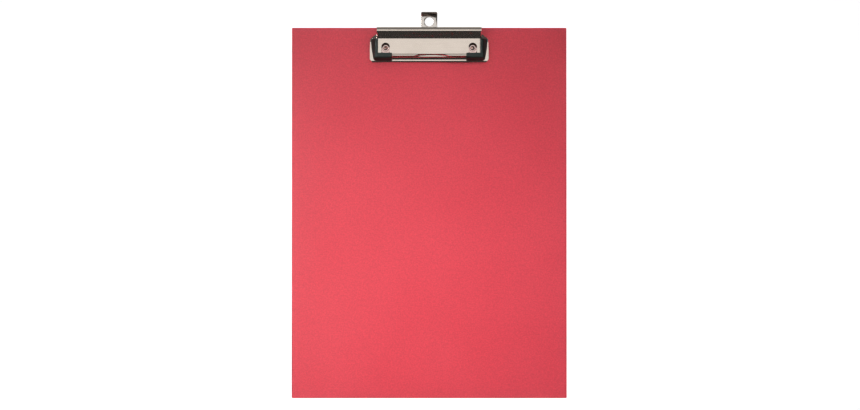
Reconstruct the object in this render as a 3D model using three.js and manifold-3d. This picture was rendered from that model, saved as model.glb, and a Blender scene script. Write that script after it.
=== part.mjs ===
// An A4 clipboard: a covered greyboard with a low spring clip riveted along its top edge.
// Millimetres. +Z points out of the board's front, +Y towards the clip, +X to the right.
// The origin is the centre of the board's back face, which the clipboard lies on.

import * as THREE from 'three';
import { mergeVertices } from 'three/addons/utils/BufferGeometryUtils.js';
import Module from 'manifold-3d';

// Board
const BOARD_WIDE = 230;
const BOARD_LONG = 310;
const BOARD_T = 2.5;
const COVER_T = 0.25;
const TURN_IN = 15; // how far the cover is folded onto the back
const LINING_T = 0.25;
const LINING_INSET = 3;
const GLUE = 0.02; // glue line between the board's layers

// Clip, in side view: v runs down from the board's top edge, h up from the board's front face
const SHEET_T = 0.8;
const FIT = 0.1; // clearance between pieces that touch in use
const JAW_HALF = 49.7; // half width of the lever's rim
const TOE_HALF = 47.5; // half width of the front edge, between its trimmed corners
const FACE_HALF = 43.6; // half width of the rolled rear edge, thumb wall and raised face
const RIM_V = 5; // where the rim starts beside the thumb wall
const FACE_H = 5.6; // middle of the sheet of the flat face
const TOE_H = 1.6; // middle of the sheet of the toe
const CURL = { v: 3.05, h: 8.2, r: 2.4 };
const CURL_STEPS = 20;
const WALL_SLOPE = 45;
const FRONT_V = 28.7; // middle of the turned-down front edge
const PIVOT = { v: 7.6, h: 3.3 };

// Rivets and the windows over them
const RIVET_X = 36.4;
const RIVET_V = 17.2;
const SHANK_R = 1.9;
const RIVET_BORE_R = 1.5;
const RIVET_ROLL_R = 2.8;
const RIVET_HEAD_R = 4.5;
const RIVET_HEAD_T = 0.8;
const WINDOW_HALF = 3.5;
const WINDOW_TOP_V = 13.1;
const WINDOW_END_V = 22.0;

// Base plate
const BASE_V0 = 3;
const BASE_V1 = 21.5;
const BASE_GAP = 0.05;
const BASE_HALF = 42.1;
const EAR_R = 2;

// Pin and springs
const PIN_R = 1.1;
const PIN_HOLE_R = 1.16;
const WIRE_R = 0.4;
const COIL_R = 1.65;
const COIL_TURNS = 5;
const COIL_PITCH = 0.95;
const SPRING_X = 24;

// Hanging tab
const TAB_HALF = 6.8;
const TAB_H = FIT; // underside of the tab
const TAB_END_V = -12.7;
const TAB_BEND_V = -9.55;
const TAB_HOLE_V = -5;
const TAB_HOLE_R = 3.7;
const TAB_STOP_HALF = 9;
const TAB_STOP_LONG = 3;
const TAB_TRAVEL = 7;
const LIP_RISE = 3.75;
const MOUTH_V = 4.5; // where the tab's pocket narrows to its mouth

// Rubber corner grips
const GRIP_T = 1;
const GRIP_FOOT_X = 31;
const GRIP_FRONT_V = 28;
const GRIP_STEM = { x0: 36, x1: 43, v0: 25.4, v1: 26.4 }; // through the slot in the toe
const GRIP_PAD = { x0: 34, x1: 46, v0: 25.3, v1: 27.4 }; // what presses on the paper
const PAD_LIFT = 0.15; // rest of the lever over the bare board
const GRIP_ARM_X = 42.9;

const SEGMENTS = 32;
const wasm = await Module();
wasm.setup();

const down = (v) => BOARD_LONG / 2 - v;
const up = (h) => BOARD_T + h;
const radians = THREE.MathUtils.degToRad;

// Solids

function solid(geometry) {
  const bare = geometry.clone();
  bare.deleteAttribute('normal');
  bare.deleteAttribute('uv');
  const merged = mergeVertices(bare, 1e-4);
  return new wasm.Manifold(new wasm.Mesh({
    numProp: 3,
    vertProperties: new Float32Array(merged.attributes.position.array),
    triVerts: new Uint32Array(merged.index.array),
  }));
}

function prism(points, depth) {
  const shape = new THREE.Shape(points.map(([a, b]) => new THREE.Vector2(a, b)));
  return new THREE.ExtrudeGeometry(shape, { depth, bevelEnabled: false });
}

// A plan outline of [x, v] points, from height h0 to height h1.
function planPrism(outline, h0, h1) {
  const flat = prism(outline.map(([x, v]) => [x, down(v)]), h1 - h0);
  return solid(flat.translate(0, 0, up(h0)));
}

// A side-view outline of [v, h] points, from x0 to x1.
function sidePrism(outline, x0, x1) {
  const flat = prism(outline.map(([v, h]) => [down(v), up(h)]), x1 - x0);
  const sideways = new THREE.Matrix4().makeBasis(
    new THREE.Vector3(0, 1, 0), new THREE.Vector3(0, 0, 1), new THREE.Vector3(1, 0, 0));
  return solid(flat.applyMatrix4(sideways).translate(x0, 0, 0));
}

// An end-view outline of [x, h] points, from v0 to v1.
function endPrism(outline, v0, v1) {
  const flat = prism(outline.map(([x, h]) => [x, up(h)]), v1 - v0);
  return solid(flat.rotateX(Math.PI / 2).translate(0, down(v0), 0));
}

function block(x0, x1, v0, v1, h0, h1) {
  return planPrism([[x0, v0], [x1, v0], [x1, v1], [x0, v1]], h0, h1);
}

function slab(halfX, halfY, z0, z1) {
  const box = new THREE.BoxGeometry(2 * halfX, 2 * halfY, z1 - z0);
  return solid(box.translate(0, 0, (z0 + z1) / 2));
}

function standingRod(x, v, radius, z0, z1) {
  const rod = new THREE.CylinderGeometry(radius, radius, z1 - z0, SEGMENTS).rotateX(Math.PI / 2);
  return solid(rod.translate(x, down(v), (z0 + z1) / 2));
}

function crossRod(radius, x0, x1) {
  const rod = new THREE.CylinderGeometry(radius, radius, x1 - x0, SEGMENTS).rotateZ(Math.PI / 2);
  return solid(rod.translate((x0 + x1) / 2, down(PIVOT.v), up(PIVOT.h)));
}

const united = (solids) => solids.reduce((all, next) => all.add(next));
const bothSides = (make) => united([-1, 1].map(make));
const mirrored = (shape, side) => (side < 0 ? shape.mirror([1, 0, 0]) : shape);

// Outlines

function arc(centreV, centreH, radius, fromDegrees, toDegrees, steps) {
  return Array.from({ length: steps + 1 }, (_, i) => {
    const angle = radians(fromDegrees + ((toDegrees - fromDegrees) * i) / steps);
    return [centreV + radius * Math.cos(angle), centreH + radius * Math.sin(angle)];
  });
}

// A line through the stops [a, b, bend radius], with each bend drawn as an arc.
function bentLine(stops, steps = 5) {
  return stops.flatMap(([a, b, radius = 0], i) => {
    if (!radius) return [[a, b]];
    const here = new THREE.Vector2(a, b);
    const [back, on] = [stops[i - 1], stops[i + 1]]
      .map(([x, y]) => new THREE.Vector2(x, y).sub(here).normalize());
    const half = (Math.PI - Math.acos(back.dot(on))) / 2;
    const centre = here.clone().addScaledVector(back.clone().add(on).normalize(),
      radius / Math.cos(half));
    const first = here.clone().addScaledVector(back, radius * Math.tan(half)).sub(centre);
    const last = here.clone().addScaledVector(on, radius * Math.tan(half)).sub(centre);
    const turn = Math.atan2(first.cross(last), first.dot(last));
    return Array.from({ length: steps + 1 }, (_, k) => {
      const p = first.clone().rotateAround(new THREE.Vector2(), (turn * k) / steps).add(centre);
      return [p.x, p.y];
    });
  });
}

// The line moved sideways by a distance, square to itself.
function offsetLine(line, distance) {
  return line.map(([a, b], i) => {
    const here = new THREE.Vector2(a, b);
    const before = new THREE.Vector2(...line[Math.max(i - 1, 0)]);
    const after = new THREE.Vector2(...line[Math.min(i + 1, line.length - 1)]);
    const coming = i ? here.clone().sub(before).normalize() : after.clone().sub(here).normalize();
    const going = i < line.length - 1 ? after.clone().sub(here).normalize() : coming;
    const across = coming.clone().add(going).normalize();
    const reach = distance / across.dot(coming);
    return [a - across.y * reach, b + across.x * reach];
  });
}

// The outline of a bent sheet whose middle follows the line.
function sheetOutline(line, thickness = SHEET_T) {
  return [...offsetLine(line, thickness / 2), ...offsetLine(line, -thickness / 2).reverse()];
}

// The step, lip and front wall of the lever's face, as stops of [v, h, bend radius].
const LIP_STOPS = [[22.3, FACE_H, 0.5], [22.8, FACE_H - 0.4, 0.7], [23.6, FACE_H - 0.4, 0.8],
  [25.1, TOE_H, 1.2]];

// The lever's sheet in side view, from the tail of its rolled rear edge to its front edge.
function jawLine() {
  const slope = radians(WALL_SLOPE);
  const wallTop = [CURL.v + CURL.r * Math.sin(slope), CURL.h + CURL.r * Math.cos(slope)];
  const wallFoot = [wallTop[0] + (wallTop[1] - FACE_H) / Math.tan(slope), FACE_H, 1.2];
  return [
    ...arc(CURL.v, CURL.h, CURL.r, 255, 90 - WALL_SLOPE, CURL_STEPS),
    ...bentLine([wallTop, wallFoot, ...LIP_STOPS, [FRONT_V, TOE_H, 1], [FRONT_V, PAD_LIFT]])
      .slice(1),
  ];
}

// The lever in plan.
function jawPlan() {
  const right = [[FACE_HALF, -1], [FACE_HALF, RIM_V], [JAW_HALF - 0.3, 9.6],
    [JAW_HALF, 20], [JAW_HALF, 26.6], [TOE_HALF, FRONT_V + SHEET_T / 2]];
  return [...right, ...right.map(([x, v]) => [-x, v]).reverse()];
}

function windowOutline(centreX, half, topV, endV) {
  const arch = arc(centreX, topV + half, half, 180, 360, 12);
  return [...arch, [centreX + half, endV], [centreX - half, endV]];
}

// Board

const CORE_HALF_X = BOARD_WIDE / 2 - COVER_T - GLUE;
const CORE_HALF_Y = BOARD_LONG / 2 - COVER_T - GLUE;
const TURN_IN_Z = LINING_T + GLUE;

function rivetHoles(radius, z0, z1) {
  return bothSides((side) => standingRod(side * RIVET_X, RIVET_V, radius, z0, z1));
}

function boardCore() {
  const top = BOARD_T - COVER_T - GLUE;
  const pressedIn = TURN_IN_Z + COVER_T + GLUE;
  const full = slab(CORE_HALF_X, CORE_HALF_Y, TURN_IN_Z, top);
  const margin = slab(BOARD_WIDE, BOARD_LONG, 0, pressedIn)
    .subtract(slab(BOARD_WIDE / 2 - TURN_IN - FIT, BOARD_LONG / 2 - TURN_IN - FIT, -1, BOARD_T));
  return full.subtract(margin)
    .subtract(rivetHoles(SHANK_R + FIT, -1, BOARD_T))
    .subtract(rivetHoles(RIVET_HEAD_R + FIT, -1, RIVET_HEAD_T + 2 * FIT));
}

function frontCover() {
  const inside = slab(BOARD_WIDE / 2 - COVER_T, BOARD_LONG / 2 - COVER_T,
    TURN_IN_Z + COVER_T, BOARD_T - COVER_T);
  const opening = slab(BOARD_WIDE / 2 - TURN_IN, BOARD_LONG / 2 - TURN_IN, -1, BOARD_T - COVER_T);
  return slab(BOARD_WIDE / 2, BOARD_LONG / 2, TURN_IN_Z, BOARD_T)
    .subtract(inside).subtract(opening)
    .subtract(rivetHoles(SHANK_R + FIT, BOARD_T - 1, BOARD_T + 1))
    .subtract(rivetHoles(RIVET_HEAD_R + FIT, -1, RIVET_HEAD_T + 2 * FIT));
}

function backLining() {
  return slab(BOARD_WIDE / 2 - LINING_INSET, BOARD_LONG / 2 - LINING_INSET, 0, LINING_T)
    .subtract(rivetHoles(RIVET_HEAD_R + FIT, -1, 1));
}

// Riveted plate

const POCKET_HALF = TAB_STOP_HALF + 0.6;
const POCKET_V1 = MOUTH_V + 2 * FIT + TAB_STOP_LONG + TAB_TRAVEL + 2 * FIT;
const POCKET_H = TAB_H + SHEET_T + FIT;

function basePlate() {
  const bottom = BASE_GAP;
  const top = BASE_GAP + SHEET_T;
  const plate = block(-BASE_HALF, BASE_HALF, BASE_V0, BASE_V1, bottom, top);
  const hump = block(-POCKET_HALF - SHEET_T, POCKET_HALF + SHEET_T, BASE_V0, POCKET_V1 + SHEET_T,
    bottom, POCKET_H + SHEET_T);
  const pocket = block(-POCKET_HALF, POCKET_HALF, MOUTH_V, POCKET_V1, -1, POCKET_H);
  const mouthHalf = TAB_HALF + 0.3;
  const mouth = block(-mouthHalf, mouthHalf, BASE_V0 - 1, MOUTH_V + 1, -1, POCKET_H);
  const ear = [[PIVOT.v - EAR_R, bottom], ...arc(PIVOT.v, PIVOT.h, EAR_R, 180, 0, 12),
    [PIVOT.v + EAR_R, bottom]];
  const ears = bothSides((side) => mirrored(
    sidePrism(ear, BASE_HALF - SHEET_T, BASE_HALF), side));
  return plate.add(hump).add(ears).subtract(pocket).subtract(mouth)
    .subtract(rivetHoles(SHANK_R + FIT, 0, BOARD_T + 5))
    .subtract(crossRod(PIN_HOLE_R, -BOARD_WIDE, BOARD_WIDE));
}

// Half a section of the rivet, turned about its own axis: flat head at the back, rolled end in front.
function rivet(side) {
  const headTop = FIT + RIVET_HEAD_T;
  const plateTop = up(BASE_GAP + SHEET_T + FIT);
  const rollMid = (RIVET_BORE_R + RIVET_ROLL_R) / 2;
  const rollR = (RIVET_ROLL_R - RIVET_BORE_R) / 2;
  const roll = arc(rollMid, plateTop + 0.15, rollR, 0, 180, 8);
  const profile = [[0, FIT], [RIVET_HEAD_R - 0.3, FIT], [RIVET_HEAD_R, FIT + 0.3],
    [RIVET_HEAD_R, headTop], [SHANK_R, headTop], [SHANK_R, plateTop],
    [RIVET_ROLL_R, plateTop], ...roll, [RIVET_BORE_R, headTop + 0.6], [0, headTop + 0.2]]
    .map(([r, z]) => new THREE.Vector2(r, z));
  const turned = new THREE.LatheGeometry(profile, SEGMENTS).rotateX(Math.PI / 2);
  turned.scale(1, -1, 1);
  return solid(flipped(turned).translate(side * RIVET_X, down(RIVET_V), 0));
}

// Reverses every triangle, to face a mirrored shape outwards again.
function flipped(geometry) {
  const index = geometry.index.array;
  for (let i = 0; i < index.length; i += 3) {
    [index[i], index[i + 1]] = [index[i + 1], index[i]];
  }
  return geometry;
}

// Lever

function gripStem(side, clearance) {
  const { x0, x1, v0, v1 } = GRIP_STEM;
  return mirrored(block(x0 - clearance, x1 + clearance, v0 - clearance, v1 + clearance,
    0.6, TOE_H + 2), side);
}

// The raised part of the lever is as wide as its rolled rear edge. Side walls carry it down to a
// rim, which runs along both sides and joins the toe in front.
function jawPlate() {
  const line = jawLine();
  const sheet = sidePrism(sheetOutline(line), -JAW_HALF - 1, JAW_HALF + 1);
  const raised = block(-FACE_HALF, FACE_HALF, -1, FRONT_V + 1, -1, 12);
  const plan = planPrism(jawPlan(), -1, 12);
  const toe = block(-JAW_HALF, JAW_HALF, FRONT_V - 1.6, FRONT_V + 1, 0, TOE_H + SHEET_T / 2);
  const [rimLow, rimHigh] = [TOE_H - SHEET_T / 2, TOE_H + SHEET_T / 2];
  const rim = bothSides((side) => mirrored(
    block(FACE_HALF - SHEET_T, JAW_HALF, RIM_V, FRONT_V - 1, rimLow, rimHigh), side));
  const top = line.slice(CURL_STEPS).filter(([v, h]) => h > TOE_H + 0.2);
  const wallOutline = [...top, [top[top.length - 1][0], rimLow], [RIM_V, rimLow]];
  const walls = bothSides((side) => mirrored(
    sidePrism(wallOutline, FACE_HALF - SHEET_T, FACE_HALF), side));
  const windows = bothSides((side) => planPrism(
    windowOutline(side * RIVET_X, WINDOW_HALF, WINDOW_TOP_V, WINDOW_END_V), 3, 8));
  const stems = bothSides((side) => gripStem(side, FIT));
  return sheet.intersect(raised.add(toe)).add(rim).intersect(plan)
    .add(walls)
    .subtract(windows).subtract(stems)
    .subtract(crossRod(PIN_HOLE_R, -BOARD_WIDE, BOARD_WIDE));
}

// The grip: an L over the corner of the raised face, sitting on the rim and the toe, with a stem
// through the toe to a pad underneath. Its top falls away to the side and to the front.
function grip(side) {
  const seat = SHEET_T / 2 + FIT;
  const top = FACE_H + seat + GRIP_T;
  const low = TOE_H + seat;
  const plan = [[GRIP_ARM_X, 9.6], [48.2, 9.6], [48.8, 11], [48.3, 17.5],
    ...bentLine([[48.3, 17.5], [46.4, GRIP_FRONT_V, 2.6], [40, GRIP_FRONT_V]]).slice(1, -1),
    ...bentLine([[40, GRIP_FRONT_V], [GRIP_FOOT_X, GRIP_FRONT_V, 0.6], [GRIP_FOOT_X, 21.5, 0.6],
      [35, 21.5]]).slice(1, -1),
    [GRIP_ARM_X, 21.5]];
  const fallFront = [[8, 0], ...bentLine([[8, top], [25.3, top, 1.8], [28.3, low + 0.3]]),
    [28.3, 0]];
  const fallSide = [[25, 0], ...bentLine([[25, top], [44.8, top, 1.8], [49, low + 0.3]]), [49, 0]];
  const face = offsetLine(bentLine([[8, FACE_H], ...LIP_STOPS, [28.5, TOE_H]]), seat);
  const { x0, x1, v0, v1 } = GRIP_PAD;
  const pad = block(x0, x1, v0, v1, PAD_LIFT, TOE_H - seat);
  const cap = planPrism(plan, low, top + 1)
    .intersect(sidePrism(fallFront, 25, 50))
    .intersect(endPrism(fallSide, 5, 30))
    .subtract(sidePrism([...face, [28.5, -1], [8, -1]], 0, FACE_HALF + FIT));
  return mirrored(cap.add(gripStem(1, 0)).add(pad), side);
}

// Pin and springs

function axlePin() {
  return crossRod(PIN_R, -FACE_HALF - 0.1, FACE_HALF + 0.1);
}

// Wire that comes in along the base plate, winds round the pin and leaves along the thumb wall.
class SpringWire extends THREE.Curve {
  constructor(side) {
    super();
    this.side = side;
    this.leg = 3.6;
    this.sweep = 2 * Math.PI * COIL_TURNS + radians(90 + WALL_SLOPE);
    this.long = this.sweep * COIL_R + 2 * this.leg;
  }

  getPoint(t, target = new THREE.Vector3()) {
    const along = t * this.long;
    const turned = THREE.MathUtils.clamp((along - this.leg) / COIL_R, 0, this.sweep);
    const straight = along - this.leg - turned * COIL_R;
    const angle = turned - Math.PI / 2;
    const v = PIVOT.v + COIL_R * Math.cos(angle) - straight * Math.sin(angle);
    const h = PIVOT.h + COIL_R * Math.sin(angle) + straight * Math.cos(angle);
    const x = SPRING_X + (COIL_PITCH * turned) / (2 * Math.PI);
    return target.set(this.side * x, down(v), up(h));
  }
}

function spring(side) {
  const section = new THREE.Shape(new THREE.EllipseCurve(0, 0, WIRE_R, WIRE_R).getPoints(6));
  const wire = new THREE.ExtrudeGeometry(section,
    { steps: 16 * (COIL_TURNS + 1), extrudePath: new SpringWire(side), bevelEnabled: false });
  return solid(wire);
}

// Hanging tab

function hangingTab() {
  const mid = TAB_H + SHEET_T / 2;
  const line = bentLine([[MOUTH_V + 2 * FIT + TAB_STOP_LONG, mid], [TAB_BEND_V, mid, 0.8],
    [TAB_END_V, mid + LIP_RISE]]);
  const strip = sidePrism(sheetOutline(line), -TAB_STOP_HALF, TAB_STOP_HALF);
  const [stopV0, stopV1] = [MOUTH_V + 2 * FIT, MOUTH_V + 2 * FIT + TAB_STOP_LONG];
  const plan = bentLine([[0, stopV1 + 1], [TAB_STOP_HALF, stopV1 + 1], [TAB_STOP_HALF, stopV0],
    [TAB_HALF, stopV0], [TAB_HALF, TAB_END_V - 0.4, 1.4], [0, TAB_END_V - 0.4]]);
  const whole = [...plan, ...plan.slice(1, -1).map(([x, v]) => [-x, v]).reverse()];
  return strip.intersect(planPrism(whole, -1, 9))
    .subtract(standingRod(0, TAB_HOLE_V, TAB_HOLE_R, 0, 20));
}

// Materials

const paint = (color, roughness, metalness = 0) => (
  new THREE.MeshStandardMaterial({ color, roughness, metalness }));
const nickel = paint('#d8ccc2', 0.18, 1);
const rubber = paint('#2c3334', 0.6);
const springSteel = paint('#8f8c88', 0.35, 1);

const group = new THREE.Group();

function place(name, shape, material) {
  const { vertProperties, triVerts } = shape.simplify(1e-3).getMesh();
  const geometry = new THREE.BufferGeometry();
  geometry.setAttribute('position', new THREE.BufferAttribute(vertProperties, 3));
  geometry.setIndex(new THREE.BufferAttribute(triVerts, 1));
  geometry.computeVertexNormals();
  const mesh = new THREE.Mesh(geometry, material);
  mesh.name = name;
  group.add(mesh);
}

place('board_core', boardCore(), paint('#9a938a', 0.9));
place('front_cover', frontCover(), paint('#d24a5a', 0.6));
place('back_lining', backLining(), paint('#c9485a', 0.7));
place('base_plate', basePlate(), nickel);
place('jaw_plate', jawPlate(), nickel);
place('axle_pin', axlePin(), springSteel);
place('hanging_tab', hangingTab(), nickel);
for (const [side, word] of [[-1, 'left'], [1, 'right']]) {
  place(`rivet_${word}`, rivet(side), nickel);
  place(`spring_${word}`, spring(side), springSteel);
  place(`corner_${word}`, grip(side), rubber);
}

export default group;
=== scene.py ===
"""A4 clipboard: red covered board, low nickel-plated clip with black corner grips, hanging tab.

Lengths below are in millimetres. In side view v runs down from the board's top edge and h up from
the board's front face, as a clip maker's drawing would, and place() turns both into the frame.
"""

import math

import bmesh
import bpy
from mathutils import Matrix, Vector


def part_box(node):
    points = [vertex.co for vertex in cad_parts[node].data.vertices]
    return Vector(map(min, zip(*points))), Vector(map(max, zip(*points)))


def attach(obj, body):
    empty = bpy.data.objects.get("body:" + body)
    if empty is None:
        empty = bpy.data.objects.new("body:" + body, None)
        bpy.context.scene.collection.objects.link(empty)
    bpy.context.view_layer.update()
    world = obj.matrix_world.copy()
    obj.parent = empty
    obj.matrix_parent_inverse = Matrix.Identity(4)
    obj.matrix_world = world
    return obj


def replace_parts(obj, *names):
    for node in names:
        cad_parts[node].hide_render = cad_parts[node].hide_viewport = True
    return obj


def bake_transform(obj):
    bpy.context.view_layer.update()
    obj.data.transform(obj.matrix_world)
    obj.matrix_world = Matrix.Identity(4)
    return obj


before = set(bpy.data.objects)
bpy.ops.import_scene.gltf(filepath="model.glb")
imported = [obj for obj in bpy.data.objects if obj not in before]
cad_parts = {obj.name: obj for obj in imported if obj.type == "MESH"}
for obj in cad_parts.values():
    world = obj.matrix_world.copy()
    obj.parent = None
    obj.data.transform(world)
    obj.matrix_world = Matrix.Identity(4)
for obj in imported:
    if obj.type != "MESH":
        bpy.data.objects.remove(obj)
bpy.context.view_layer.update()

MM = 0.001
COVER_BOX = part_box("front_cover")
TOP_Y = COVER_BOX[1].y / MM
FACE_Z = COVER_BOX[1].z / MM
HALF_WIDE = COVER_BOX[1].x / MM
JAW_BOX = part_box("jaw_plate")

# The lever, as its CAD solid has it
SHEET_T = 0.8
FACE_HALF = 43.6
RIM_HALF = JAW_BOX[1].x / MM
TOE_HALF = 47.5
RIM_V = 5.0
FACE_H = 6.0  # outer surface of the flat face
RIM_H = 2.0  # outer surface of the rim and the toe
CURL_V, CURL_H, CURL_R = 3.05, 8.2, 2.8
FRONT_V = TOP_Y - JAW_BOX[0].y / MM
REAR_FALL = 0.2  # slope of the rim towards its edge beside the rolled end
PIVOT_V, PIVOT_H = 7.6, 3.3
RIVET_X, RIVET_V = 36.4, 17.2
WINDOW_HALF, WINDOW_TOP_V, WINDOW_END_V = 3.5, 13.1, 22.0

WALL_SLOPE = 45  # degrees, of the thumb wall
CURL_STEPS = 42
PIN_HOLE_R = 1.16

# The lip, and the finger scoop pressed into it
LIP_DROP = 0.27
SCOOP_X = 2.0
SCOOP_HALF = 14.8
SCOOP_V = 23.7  # rear edge of the scoop at its two ends
SCOOP_BACK = 1.25  # how much further back the edge is in the middle
SCOOP_DROP = 1.5
SCOOP_ROUND = 1.1  # length of the slope down from the edge
SCOOP_RANGE = (20.0, 25.4)  # what v the scoop may change

# The covering sheet
COVER_T = 0.25
COVER_EDGE_R = 0.55
COVER_CORNER_R = 0.7
TURN_IN = 15.0
RIVET_HOLE_R = 1.95

# The rivets: radii, and the height of the base plate's top over the board's face
PLATE_TOP = 0.85
HEAD_R, HEAD_TOP, SHANK_R = 4.5, 0.9, 1.9
FLANGE_R, FLANGE_T, FLANGE_RISE = 4.4, 0.04, 0.32
ROLL_R, BORE_R, LIP_R = 2.7, 1.65, 0.22
ROLL_MID, BORE_DEEP = 0.4, 2.6  # over and under the plate's top

# Wire of the springs
WIRE_R, COIL_R, COIL_TURNS, COIL_PITCH, SPRING_X, LEG = 0.4, 1.65, 5, 0.95, 24.0, 3.6
LEG_TURN = 90 + WALL_SLOPE  # degrees the wire turns on top of its whole turns

CAMERA_HIGH = 1500.0
CAMERA_TILT = 0.6  # degrees
VIEW_WIDE = 719.85  # what the camera takes in across, at the board
AIM = (0.67, 6.50)


def place(x, v, h):
    """A point of the clip, from x, v and h in millimetres to the frame in metres."""
    return Vector((x, TOP_Y - v, FACE_Z + h)) * MM


# --- outlines -------------------------------------------------------------------------------


def arc(cx, cy, radius, start, end, steps):
    """Points on a circle between two angles in degrees."""
    return [
        (
            cx + radius * math.cos(math.radians(start + (end - start) * i / steps)),
            cy + radius * math.sin(math.radians(start + (end - start) * i / steps)),
        )
        for i in range(steps + 1)
    ]


def bent_line(stops, steps=6):
    """The line through stops (a, b, bend radius), each bend drawn as an arc."""
    out = []
    for i, (a, b, *rest) in enumerate(stops):
        radius = rest[0] if rest else 0
        if not radius:
            out.append((a, b))
            continue
        here = Vector((a, b))
        back = (Vector(stops[i - 1][:2]) - here).normalized()
        on = (Vector(stops[i + 1][:2]) - here).normalized()
        half = (math.pi - back.angle(on)) / 2
        centre = here + (back + on).normalized() * (radius / math.cos(half))
        first = here + back * radius * math.tan(half) - centre
        last = here + on * radius * math.tan(half) - centre
        turn = first.angle_signed(last)
        for k in range(steps + 1):
            angle = -turn * k / steps
            c, s = math.cos(angle), math.sin(angle)
            out.append((centre.x + first.x * c - first.y * s, centre.y + first.x * s + first.y * c))
    return out


def spread(line, step):
    """The line with extra points, none further apart than step."""
    out = [line[0]]
    for (a0, b0), (a1, b1) in zip(line, line[1:]):
        n = max(1, math.ceil(math.hypot(a1 - a0, b1 - b0) / step))
        out += [(a0 + (a1 - a0) * k / n, b0 + (b1 - b0) * k / n) for k in range(1, n + 1)]
    return out


def smooth(low, high, value):
    """0 up to low, 1 from high on, and an even rise between them."""
    t = min(1.0, max(0.0, (value - low) / (high - low)))
    return t * t * (3 - 2 * t)


# --- meshes ---------------------------------------------------------------------------------


def mesh_object(name, verts, faces, material, smooth_angle=40):
    mesh = bpy.data.meshes.new(name)
    mesh.from_pydata([tuple(v) for v in verts], [], faces)
    bm = bmesh.new()
    bm.from_mesh(mesh)
    bmesh.ops.remove_doubles(bm, verts=bm.verts, dist=1e-7)
    bmesh.ops.recalc_face_normals(bm, faces=bm.faces)
    bm.to_mesh(mesh)
    bm.free()
    obj = bpy.data.objects.new(name, mesh)
    bpy.context.scene.collection.objects.link(obj)
    obj.data.materials.append(material)
    shade(obj, smooth_angle)
    return obj


def shade(obj, angle=40):
    """Smooth shading with edges sharper than angle kept."""
    obj.data.shade_smooth()
    obj.data.set_sharp_from_angle(angle=math.radians(angle))


def modify(obj, kind, **settings):
    modifier = obj.modifiers.new(kind.lower(), kind)
    for key, value in settings.items():
        setattr(modifier, key, value)
    return modifier


def apply_modifiers(obj):
    """Replaces the object's mesh by what its modifiers make of it."""
    depsgraph = bpy.context.evaluated_depsgraph_get()
    made = bpy.data.meshes.new_from_object(obj.evaluated_get(depsgraph))
    obj.modifiers.clear()
    obj.data = made
    shade(obj)


def prism(name, outline, low, high, direction="h"):
    """A closed block over an outline: (x, v) raised in h, or (v, h) carried along x."""
    verts = []
    for level in (low, high):
        for a, b in outline:
            verts.append(place(a, b, level) if direction == "h" else place(level, a, b))
    n = len(outline)
    faces = [tuple(range(n)), tuple(range(2 * n - 1, n - 1, -1))]
    faces += [(i, (i + 1) % n, n + (i + 1) % n, n + i) for i in range(n)]
    return mesh_object(name, verts, faces, PLAIN)


def cut(obj, cutter):
    """Takes the cutter's space out of the object, and the cutter with it."""
    modify(obj, "BOOLEAN", operation="DIFFERENCE", solver="EXACT", object=cutter)
    apply_modifiers(obj)
    bpy.data.objects.remove(cutter)


def lathe(name, profile, centre_x, centre_v, material, raised, steps=48):
    """Turns a profile of (radius, z) about an axis through the board.

    raised(r, z, rearward) lifts a point; rearward is 1 towards +Y and -1 towards -Y.
    """
    centre = place(centre_x, centre_v, 0)
    verts, faces = [], []
    for k in range(steps):
        angle = 2 * math.pi * k / steps
        c, s = math.cos(angle), math.sin(angle)
        for r, z in profile:
            lifted = z + raised(r, z, s)
            verts.append((centre.x + r * MM * c, centre.y + r * MM * s, lifted * MM))
    n = len(profile)
    for k in range(steps):
        after = (k + 1) % steps
        faces += [
            (k * n + i, k * n + i + 1, after * n + i + 1, after * n + i) for i in range(n - 1)
        ]
    return mesh_object(name, verts, faces, material, 35)


def finish_cad(node, material, bevel=0.12, angle=30):
    """Gives a CAD node its material, flat faces without triangle seams, and softened edges."""
    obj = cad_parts[node]
    obj.data.materials.clear()
    obj.data.materials.append(material)
    modify(obj, "WELD", merge_threshold=1e-6)
    modify(obj, "DECIMATE", decimate_type="DISSOLVE", angle_limit=math.radians(2))
    modify(
        obj,
        "BEVEL",
        width=bevel * MM,
        segments=3,
        limit_method="ANGLE",
        angle_limit=math.radians(angle),
        harden_normals=True,
    )
    return obj


# --- materials ------------------------------------------------------------------------------


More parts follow.
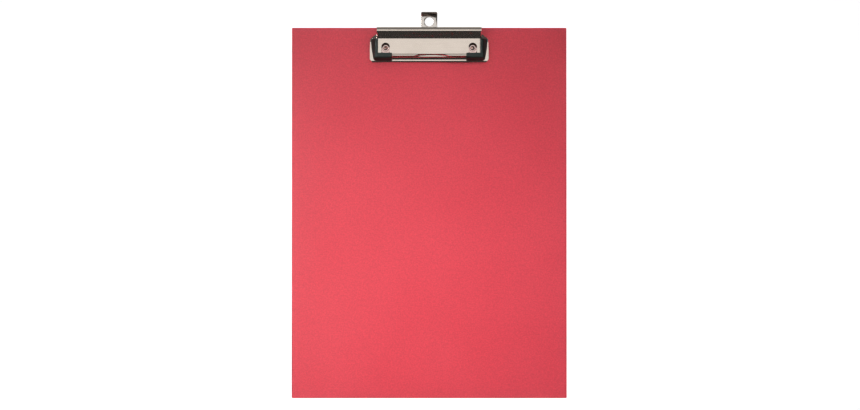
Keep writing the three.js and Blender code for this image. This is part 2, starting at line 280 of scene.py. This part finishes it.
class Nodes:
    """A material's node tree, with short calls to add and join nodes."""

    def __init__(self, name):
        self.material = bpy.data.materials.new(name)
        self.material.use_nodes = True
        self.tree = self.material.node_tree
        self.tree.nodes.clear()
        self.out = self.add("ShaderNodeOutputMaterial")
        self.shader = self.add("ShaderNodeBsdfPrincipled")
        self.join(self.shader, "BSDF", self.out, "Surface")
        self.where = self.add("ShaderNodeTexCoord")

    def add(self, kind, **values):
        node = self.tree.nodes.new(kind)
        for key, value in values.items():
            if hasattr(node, key):
                setattr(node, key, value)
            else:
                node.inputs[key.replace("_", " ")].default_value = value
        return node

    def join(self, a, out, b, into):
        self.tree.links.new(a.outputs[out], b.inputs[into])

    def set(self, **values):
        for key, value in values.items():
            self.shader.inputs[key.replace("_", " ")].default_value = value

    def noise(self, scale, detail=2.0, stretch=(1, 1, 1), rough=0.5):
        """Noise in the frame's own metres, stretched along the axes."""
        mapping = self.add("ShaderNodeMapping")
        mapping.inputs["Scale"].default_value = stretch
        self.join(self.where, "Object", mapping, "Vector")
        noise = self.add("ShaderNodeTexNoise", Scale=scale, Detail=detail, Roughness=rough)
        self.join(mapping, "Vector", noise, "Vector")
        return noise

    def ramp(self, source, low, high, a=0.3, b=0.7):
        """A colour between two, where the source goes from a to b."""
        ramp = self.add("ShaderNodeValToRGB")
        ramp.color_ramp.elements[0].position = a
        ramp.color_ramp.elements[1].position = b
        ramp.color_ramp.elements[0].color = low
        ramp.color_ramp.elements[1].color = high
        self.join(source, "Fac", ramp, "Fac")
        return ramp

    def range(self, source, low, high):
        """A number from low to high, over the middle part of the source."""
        node = self.add("ShaderNodeMapRange", From_Min=0.3, From_Max=0.7, To_Min=low, To_Max=high)
        self.join(source, "Fac", node, "Value")
        return node

    def bump(self, source, strength, distance, under=None):
        bump = self.add("ShaderNodeBump", Strength=strength, Distance=distance)
        self.join(source, "Fac", bump, "Height")
        if under is not None:
            self.join(under, "Normal", bump, "Normal")
        return bump


def rgb(r, g, b):
    return (r, g, b, 1.0)


def cover_material(name, light, dark, grain=0.10):
    """Covering sheet: a fine even matte grain, faintly clouded in colour and roughness."""
    m = Nodes(name)
    cloud = m.noise(16.0, 3.0)
    fine = m.noise(900.0, 3.0, rough=0.6)
    colour = m.ramp(cloud, dark, light, a=0.35, b=0.65)
    speck = m.ramp(fine, rgb(0.87, 0.87, 0.87), rgb(1.13, 1.13, 1.13))
    mix = m.add("ShaderNodeMix", data_type="RGBA", blend_type="MULTIPLY")
    mix.inputs[0].default_value = 1.0
    m.tree.links.new(colour.outputs["Color"], mix.inputs[6])
    m.tree.links.new(speck.outputs["Color"], mix.inputs[7])
    m.tree.links.new(mix.outputs[2], m.shader.inputs["Base Color"])
    rough = m.range(cloud, 0.42, 0.48)
    m.join(rough, "Result", m.shader, "Roughness")
    coarse = m.noise(260.0, 2.0)
    first = m.bump(coarse, grain, 0.00008)
    second = m.bump(fine, grain * 1.6, 0.00004, under=first)
    m.join(second, "Normal", m.shader, "Normal")
    return m.material


def nickel_material(name, colour, low=0.10, high=0.19):
    """Bright nickel plate: warm, with a faint rolling grain along x and fine handling marks."""
    m = Nodes(name)
    grain = m.noise(700.0, 3.0, stretch=(0.06, 1, 1))
    cloud = m.noise(60.0, 2.0)
    r, g, b = colour
    tint = m.ramp(cloud, rgb(r * 0.95, g * 0.95, b * 0.94), rgb(r, g, b))
    m.join(tint, "Color", m.shader, "Base Color")
    rough = m.range(grain, low, high)
    m.join(rough, "Result", m.shader, "Roughness")
    bump = m.bump(grain, 0.06, 0.00002)
    m.join(bump, "Normal", m.shader, "Normal")
    m.set(Metallic=1.0)
    return m.material


def rubber_material(name, colour):
    """Moulded rubber: near black with a dull sheen and a fine moulded texture."""
    m = Nodes(name)
    cloud = m.noise(220.0, 3.0)
    r, g, b = colour
    tint = m.ramp(cloud, rgb(r * 0.8, g * 0.8, b * 0.8), rgb(r * 1.15, g * 1.15, b * 1.15))
    m.join(tint, "Color", m.shader, "Base Color")
    rough = m.range(cloud, 0.34, 0.46)
    m.join(rough, "Result", m.shader, "Roughness")
    fine = m.noise(2600.0, 2.0)
    bump = m.bump(fine, 0.12, 0.00004)
    m.join(bump, "Normal", m.shader, "Normal")
    return m.material


def board_material(name, colour):
    """Greyboard: pressed fibre, seen only at cut edges."""
    m = Nodes(name)
    fibre = m.noise(500.0, 4.0, stretch=(0.3, 1, 2))
    r, g, b = colour
    tint = m.ramp(fibre, rgb(r * 0.8, g * 0.8, b * 0.8), rgb(r, g, b))
    m.join(tint, "Color", m.shader, "Base Color")
    m.join(m.bump(fibre, 0.3, 0.0001), "Normal", m.shader, "Normal")
    m.set(Roughness=0.9)
    return m.material


def floor_material():
    """Pale table, bright enough to stay white under the object."""
    m = Nodes("floor_white")
    cloud = m.noise(3.0, 2.0)
    tint = m.ramp(cloud, rgb(0.24, 0.24, 0.24), rgb(0.27, 0.27, 0.27))
    m.join(tint, "Color", m.shader, "Base Color")
    m.set(Roughness=0.9, Specular_IOR_Level=0.0)
    m.shader.inputs["Emission Color"].default_value = rgb(1, 1, 1)
    m.shader.inputs["Emission Strength"].default_value = 0.93
    return m.material


PLAIN = bpy.data.materials.new("cutter")
RED = cover_material("cover_red", rgb(0.665, 0.048, 0.072), rgb(0.64, 0.043, 0.066))
RED_BACK = cover_material("lining_red", rgb(0.50, 0.045, 0.068), rgb(0.46, 0.040, 0.060), 0.16)
NICKEL = nickel_material("nickel_plate", (0.74, 0.655, 0.585))
# Darker, pinker copy of the nickel for the base plate: painted shade from the lever above it, and a
# painted reflection of the red board.
NICKEL_BASE_PAINTED_SHADE_AND_REFLECTION = nickel_material("nickel_base_painted_shade_and_reflection", (0.56, 0.46, 0.42), 0.07, 0.13)
# Pink-tinted copy of the nickel for the rivets: a painted reflection of the red board.
RIVET_NICKEL_PAINTED_REFLECTION = nickel_material("nickel_rivet_painted_red_reflection", (0.72, 0.56, 0.52), 0.10, 0.18)
# Greyer, less warm copy of the nickel for the tab: a painted reflection of the paler surroundings
# the tab faces.
NICKEL_TAB_PAINTED_REFLECTION = nickel_material("nickel_tab_painted_reflection", (0.65, 0.61, 0.575))
STEEL = nickel_material("spring_steel", (0.42, 0.40, 0.38), 0.25, 0.38)
RUBBER = rubber_material("grip_rubber", (0.012, 0.021, 0.018))
GREYBOARD = board_material("greyboard", (0.42, 0.38, 0.33))


# --- board ----------------------------------------------------------------------------------


def rounded_rectangle(half_x, half_y, radius, steps=4):
    """The outline of a rectangle with round corners, counter-clockwise."""
    corners = [
        (half_x - radius, half_y - radius, 0),
        (radius - half_x, half_y - radius, 90),
        (radius - half_x, radius - half_y, 180),
        (half_x - radius, radius - half_y, 270),
    ]
    return [p for cx, cy, a in corners for p in arc(cx, cy, radius, a, a + 90, steps)]


def nested(name, loops, material):
    """A closed skin through rectangular loops (inset, z), capped at the first and the last."""
    verts, faces = [], []
    for inset, z in loops:
        radius = max(0.05, COVER_CORNER_R - inset)
        for x, y in rounded_rectangle(HALF_WIDE - inset, TOP_Y - inset, radius):
            verts.append(Vector((x, y, z)) * MM)
    n = len(verts) // len(loops)
    for k in range(len(loops) - 1):
        faces += [
            (k * n + i, k * n + (i + 1) % n, (k + 1) * n + (i + 1) % n, (k + 1) * n + i)
            for i in range(n)
        ]
    faces += [tuple(range(n)), tuple(range((len(loops) - 1) * n, len(loops) * n))]
    return mesh_object(name, verts, faces, material, 50)


def build_cover():
    """The covering sheet: front, rounded edges and turn-ins, as one skin with its own thickness."""
    low, t, edge = COVER_BOX[0].z / MM, COVER_T, COVER_EDGE_R
    loops = [(t, FACE_Z - t), (t, low + t), (TURN_IN, low + t), (TURN_IN, low), (edge, low)]
    loops += [(edge - dx, low + edge + dz) for dx, dz in arc(0, 0, edge, 270, 360, 5)[1:]]
    loops += [(edge - dx, FACE_Z - edge + dz) for dx, dz in arc(0, 0, edge, 0, 90, 5)]
    cover = nested("cover_sheet", loops, RED)
    for side in (-1, 1):
        rim = arc(side * RIVET_X, RIVET_V, RIVET_HOLE_R, 0, 360, 48)[:-1]
        cut(cover, prism("rivet_cutter", rim, -4, 1))
    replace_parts(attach(cover, "board"), "front_cover")


def build_board():
    build_cover()
    finish_cad("back_lining", RED_BACK, 0.08)
    finish_cad("board_core", GREYBOARD, 0.05)


# --- lever ----------------------------------------------------------------------------------


def rim_edge(v):
    """Half width of the rim at v."""
    stops = [(RIM_V, FACE_HALF), (9.6, RIM_HALF - 0.3), (20, RIM_HALF), (26.6, RIM_HALF)]
    stops += [(FRONT_V, TOE_HALF)]
    for (v0, x0), (v1, x1) in zip(stops, stops[1:]):
        if v <= v1:
            return x0 + (x1 - x0) * max(0.0, (v - v0) / (v1 - v0))
    return stops[-1][1]


def lever_rows():
    """The lever's outer surface in side view, from its rolled rear edge to its front edge."""
    slope = math.radians(WALL_SLOPE)
    wall_top = (CURL_V + CURL_R * math.sin(slope), CURL_H + CURL_R * math.cos(slope))
    wall_foot = (wall_top[0] + wall_top[1] - FACE_H, FACE_H, 1.9)
    rolled = arc(CURL_V, CURL_H, CURL_R, 255, WALL_SLOPE, CURL_STEPS)
    rest = bent_line(
        [
            wall_top,
            wall_foot,
            (22.4, FACE_H, 0.8),
            (22.9, FACE_H - LIP_DROP, 0.4),
            (24.15, FACE_H - LIP_DROP, 0.6),
            (25.2, RIM_H, 3.0),
            (28.4, RIM_H, 1.8),
            (FRONT_V, RIM_H - 0.84),
            (FRONT_V, 0.15),
        ]
    )
    return rolled + spread(rest, 0.25)[1:]


def scooped(x, v, h):
    """The height of the lever's surface at x, v, once the finger scoop has been pressed in."""
    across = 1 - ((x - SCOOP_X) / SCOOP_HALF) ** 4
    if across <= 0 or v < SCOOP_RANGE[0] or v > SCOOP_RANGE[1]:
        return h
    edge = SCOOP_V - SCOOP_BACK * across
    drop = (LIP_DROP + SCOOP_DROP * math.sqrt(across)) * smooth(edge, edge + SCOOP_ROUND, v)
    return min(h, max(FACE_H - drop, RIM_H))


def face_columns():
    """Columns across the raised face, close together over the scoop."""
    left, right = SCOOP_X - SCOOP_HALF, SCOOP_X + SCOOP_HALF
    edge = FACE_HALF - 1
    spans = [(-edge, left - 1, 20), (left - 1, left + 3, 12), (left + 3, right - 3, 16)]
    spans += [(right - 3, right + 1, 12), (right + 1, edge, 20)]
    return [-edge] + [a + (b - a) * i / n for a, b, n in spans for i in range(1, n + 1)]


def lever_section(v, h, walled):
    """One section across the lever, from its left edge to its right, as (x, height).

    walled goes from 0, where the sheet simply ends, to 1, where a side wall and a rim follow.
    """
    steps = 5
    if walled <= 0:
        side = [(FACE_HALF - 1 + k / steps, h) for k in range(1, steps + 1)]
    else:
        quarter = [math.pi / 2 * k / steps for k in range(steps + 1)]
        depth = max(0.0, h - RIM_H)
        bend = min(1.0, depth / 2) * walled
        foot = min(0.6, depth / 2)
        side = [(FACE_HALF - 1 + math.sin(a), h - bend * (1 - math.cos(a))) for a in quarter[1:]]
        room = rim_edge(v) - FACE_HALF
        out = min(foot, max(0.0, room))
        foot_top = min(h - bend, RIM_H + foot)
        side += [
            (FACE_HALF + out * (1 - math.cos(a)), foot_top - foot * math.sin(a)) for a in quarter
        ]
        flat = room - out
        fall = REAR_FALL * (1 - smooth(9, 12.5, v))
        side += [
            (FACE_HALF + out + flat * k / 6, min(h, RIM_H) - fall * flat * k / 6)
            for k in range(1, 7)
        ]
    middle = [(x, scooped(x, v, h)) for x in face_columns()]
    return [(-x, z) for x, z in reversed(side)] + middle + side


def build_lever():
    """Loft of the sections, given its sheet thickness, with windows and pin holes cut through."""
    rows = lever_rows()
    first_walled = next(i for i, (v, h) in enumerate(rows) if i > CURL_STEPS and v >= RIM_V)
    verts, faces, lines = [], [], []
    for i, (v, h) in enumerate(rows):
        walled = smooth(RIM_V - 0.5, RIM_V + 1.0, v) if i >= first_walled else 0
        line = []
        for x, z in lever_section(v, h, walled):
            line.append(len(verts))
            verts.append(place(x, v, z))
        lines.append(line)
    for upper, lower in zip(lines, lines[1:]):
        extra = (len(lower) - len(upper)) // 2
        inner = lower[extra : len(lower) - extra] if extra else lower
        faces += [
            (upper[i], upper[i + 1], inner[i + 1], inner[i]) for i in range(len(upper) - 1)
        ]
    lever = mesh_object("lever_sheet", verts, faces, NICKEL)
    modify(lever, "SOLIDIFY", thickness=SHEET_T * MM, offset=-1, use_even_offset=True)
    apply_modifiers(lever)
    for side in (-1, 1):
        x = side * RIVET_X
        arch = arc(x, WINDOW_TOP_V + WINDOW_HALF, WINDOW_HALF, 180, 360, 20)
        outline = arch + [(x + WINDOW_HALF, WINDOW_END_V), (x - WINDOW_HALF, WINDOW_END_V)]
        cut(lever, prism("window_cutter", outline, 4, 8))
    pin = arc(PIVOT_V, PIVOT_H, PIN_HOLE_R, 0, 360, 32)[:-1]
    cut(lever, prism("pin_cutter", pin, -60, 60, direction="x"))
    modify(
        lever,
        "BEVEL",
        width=0.25 * MM,
        segments=3,
        limit_method="ANGLE",
        angle_limit=math.radians(50),
    )
    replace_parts(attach(lever, "jaw"), "jaw_plate")


def build_grips():
    """The rubber corners: the CAD solids with every edge moulded round."""
    for word in ("left", "right"):
        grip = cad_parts[f"corner_{word}"]
        grip.data.materials.clear()
        grip.data.materials.append(RUBBER)
        modify(grip, "WELD", merge_threshold=1e-6)
        modify(grip, "REMESH", mode="VOXEL", voxel_size=0.16 * MM, use_smooth_shade=True)
        modify(grip, "SMOOTH", factor=0.5, iterations=8)


# --- plate, rivets, pin, springs and tab ----------------------------------------------------


def dished(r, z, rearward):
    """The rivet's flange climbs towards the roll, on the side of the lever's rolled edge."""
    if r <= ROLL_R or z <= FACE_Z + PLATE_TOP + 0.01:
        return 0.0
    return FLANGE_RISE * smooth(0.1, 0.6, rearward) * (FLANGE_R - r) / (FLANGE_R - ROLL_R)


def build_rivets():
    """Each rivet: head in the board's back, shank, round flange, rolled end and bore."""
    top = FACE_Z + PLATE_TOP
    for side, word in ((-1, "left"), (1, "right")):
        profile = [(0, 0.1), (3.4, 0.1)] + arc(HEAD_R - 0.3, 0.4, 0.3, 270, 360, 4)
        profile += [(HEAD_R, HEAD_TOP), (SHANK_R, HEAD_TOP), (SHANK_R, top)]
        profile += [(FLANGE_R, top), (FLANGE_R, top + FLANGE_T), (ROLL_R + 0.05, top + FLANGE_T)]
        profile += [(ROLL_R, top + 0.36)]
        profile += arc(ROLL_R - LIP_R, top + ROLL_MID, LIP_R, 0, 90, 5)
        profile += arc(BORE_R + LIP_R, top + ROLL_MID, LIP_R, 90, 180, 5)
        profile += [(BORE_R - 0.1, top + 0.1), (BORE_R - 0.1, top - 1.4), (0, top - BORE_DEEP)]
        rivet = lathe(
            f"rivet_set_{word}", profile, side * RIVET_X, RIVET_V, RIVET_NICKEL_PAINTED_REFLECTION, dished
        )
        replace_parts(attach(rivet, "board"), f"rivet_{word}")


def spring_path(side):
    """Middle of the wire: a leg on the base plate, the coil, a leg under the thumb wall."""
    sweep = 2 * math.pi * COIL_TURNS + math.radians(LEG_TURN)
    coil_steps = 28 * COIL_TURNS
    angles = [sweep * k / coil_steps for k in range(coil_steps + 1)]
    turns = [(0.0, -LEG * (1 - k / 4)) for k in range(4)]
    turns += [(a, 0.0) for a in angles]
    turns += [(sweep, LEG * k / 4) for k in range(1, 5)]
    path = []
    for turned, straight in turns:
        angle = turned - math.pi / 2
        v = PIVOT_V + COIL_R * math.cos(angle) - straight * math.sin(angle)
        h = PIVOT_H + COIL_R * math.sin(angle) + straight * math.cos(angle)
        path.append(place(side * (SPRING_X + COIL_PITCH * turned / (2 * math.pi)), v, h))
    return path


def wire(name, path, radius, material, sides=12):
    """A round wire along a path, its ends closed."""
    verts, faces = [], []
    reference = Vector((1, 0, 0))
    for i, here in enumerate(path):
        along = (path[min(i + 1, len(path) - 1)] - path[max(i - 1, 0)]).normalized()
        reference = (reference - along * reference.dot(along)).normalized()
        other = along.cross(reference)
        for k in range(sides):
            angle = 2 * math.pi * k / sides
            verts.append(here + (reference * math.cos(angle) + other * math.sin(angle)) * radius)
    for i in range(len(path) - 1):
        for k in range(sides):
            after = (k + 1) % sides
            row, following = i * sides, (i + 1) * sides
            faces.append((row + k, row + after, following + after, following + k))
    faces.append(tuple(range(sides)))
    faces.append(tuple(range(len(verts) - 1, len(verts) - 1 - sides, -1)))
    return mesh_object(name, verts, faces, material, 50)


def build_springs():
    """Each spring: the coil, with one leg on the base plate and the other under the lever's thumb
    wall.
    """
    for side, word in ((-1, "left"), (1, "right")):
        coil = wire(f"torsion_spring_{word}", spring_path(side), WIRE_R * MM, STEEL)
        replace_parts(coil, f"spring_{word}")
        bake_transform(coil)


def build_small_metal():
    """The base plate, pin and tab keep their CAD solids, with softened edges."""
    finish_cad("base_plate", NICKEL_BASE_PAINTED_SHADE_AND_REFLECTION, 0.12)
    finish_cad("axle_pin", STEEL, 0.2, angle=50)
    finish_cad("hanging_tab", NICKEL_TAB_PAINTED_REFLECTION, 0.14)
    for node in ("axle_pin", "hanging_tab", "base_plate"):
        shade(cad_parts[node], 30)


# --- stage ----------------------------------------------------------------------------------


def build_stage():
    """A wide floor just under the board."""
    mesh = bpy.data.meshes.new("floor")
    half = 12.0
    mesh.from_pydata(
        [(-half, -half, 0), (half, -half, 0), (half, half, 0), (-half, half, 0)],
        [],
        [(0, 1, 2, 3)],
    )
    floor = bpy.data.objects.new("floor", mesh)
    bpy.context.scene.collection.objects.link(floor)
    floor.data.materials.append(floor_material())
    floor.location.z = -0.0002
    floor.visible_glossy = False
    floor.visible_diffuse = False


def area_light(name, where, size, power, aim, colour=(1, 1, 1), spread=180):
    light = bpy.data.lights.new(name, "AREA")
    light.shape = "RECTANGLE"
    light.size, light.size_y = size
    light.energy = power
    light.color = colour
    light.spread = math.radians(spread)
    obj = bpy.data.objects.new(name, light)
    bpy.context.scene.collection.objects.link(obj)
    obj.location = where
    direction = Vector(aim) - Vector(where)
    obj.rotation_euler = direction.to_track_quat("-Z", "Y").to_euler()
    return obj


def build_lights():
    """A panel overhead, a card behind, and gridded softboxes that even out the board."""
    warm, pale = (1.0, 0.985, 0.97), (1.0, 0.99, 0.98)
    for name, y, long, power in (("overhead", 0.05, 1.2, 3.7), ("rear_strip", 0.85, 0.4, 1.6)):
        panel = area_light(name, (-0.17, y, 2.2), (1.1, long), power, (-0.17, y, 0), warm)
        panel.visible_diffuse = name == "overhead"
    card, card_size = (0.0, 1.75, 2.1), (2.4, 1.6)
    area_light("rear_card", card, card_size, 6.0, (0, 0.1, 0), pale).visible_glossy = False
    area_light("rear_gleam", card, card_size, 4.4, (0, 0.1, 0), pale).visible_diffuse = False
    middle = (-0.08, -0.067, 0)
    for name, where, power, aim in (
        ("key_left", (-0.95, 0.05, 1.0), 0.43, middle),
        ("fill_right", (1.0, 0.1, 0.9), 0.36, (0.03, -0.09, 0)),
        ("fill_back", (0.0, 1.0, 0.75), 0.18, middle),
    ):
        softbox = area_light(name, where, (0.4, 0.4), power, aim, spread=25)
        softbox.visible_glossy = name == "key_left"


def build_world():
    """Dim walls, darker towards the front, and a lighter ground."""
    world = bpy.data.worlds.new("studio")
    bpy.context.scene.world = world
    world.use_nodes = True
    tree = world.node_tree
    where = tree.nodes.new("ShaderNodeTexCoord")
    split = tree.nodes.new("ShaderNodeSeparateXYZ")
    tree.links.new(where.outputs["Generated"], split.inputs["Vector"])
    both = tree.nodes.new("ShaderNodeMath")
    both.operation = "ADD"
    ranges = (("Y", (-0.1, 0.9, 0.045, 0.22)), ("Z", (-0.02, -0.25, 0, 0.28)))
    for slot, (axis, values) in enumerate(ranges):
        part = tree.nodes.new("ShaderNodeMapRange")
        for key, value in zip(("From Min", "From Max", "To Min", "To Max"), values):
            part.inputs[key].default_value = value
        tree.links.new(split.outputs[axis], part.inputs["Value"])
        tree.links.new(part.outputs["Result"], both.inputs[slot])
    background = tree.nodes["Background"]
    tree.links.new(both.outputs["Value"], background.inputs["Strength"])
    background.inputs["Color"].default_value = rgb(1.0, 0.98, 0.96)


def build_camera():
    """The camera looks almost straight down on the board."""
    camera = bpy.data.objects.new("camera", bpy.data.cameras.new("camera"))
    bpy.context.scene.collection.objects.link(camera)
    aim = Vector((AIM[0], AIM[1], FACE_Z)) * MM
    tilt = math.radians(CAMERA_TILT)
    away = Vector((0, -math.sin(tilt), math.cos(tilt))) * (CAMERA_HIGH * MM)
    camera.location = aim + away
    camera.rotation_euler = (-away).to_track_quat("-Z", "Y").to_euler()
    camera.data.sensor_width = 36.0
    camera.data.lens = camera.data.sensor_width * CAMERA_HIGH / VIEW_WIDE
    camera.data.clip_end = 50
    bpy.context.scene.camera = camera


build_camera()
build_board()
build_lever()
build_grips()
build_rivets()
build_springs()
build_small_metal()
build_stage()
build_lights()
build_world()
bpy.context.scene.view_settings.view_transform = "Standard"
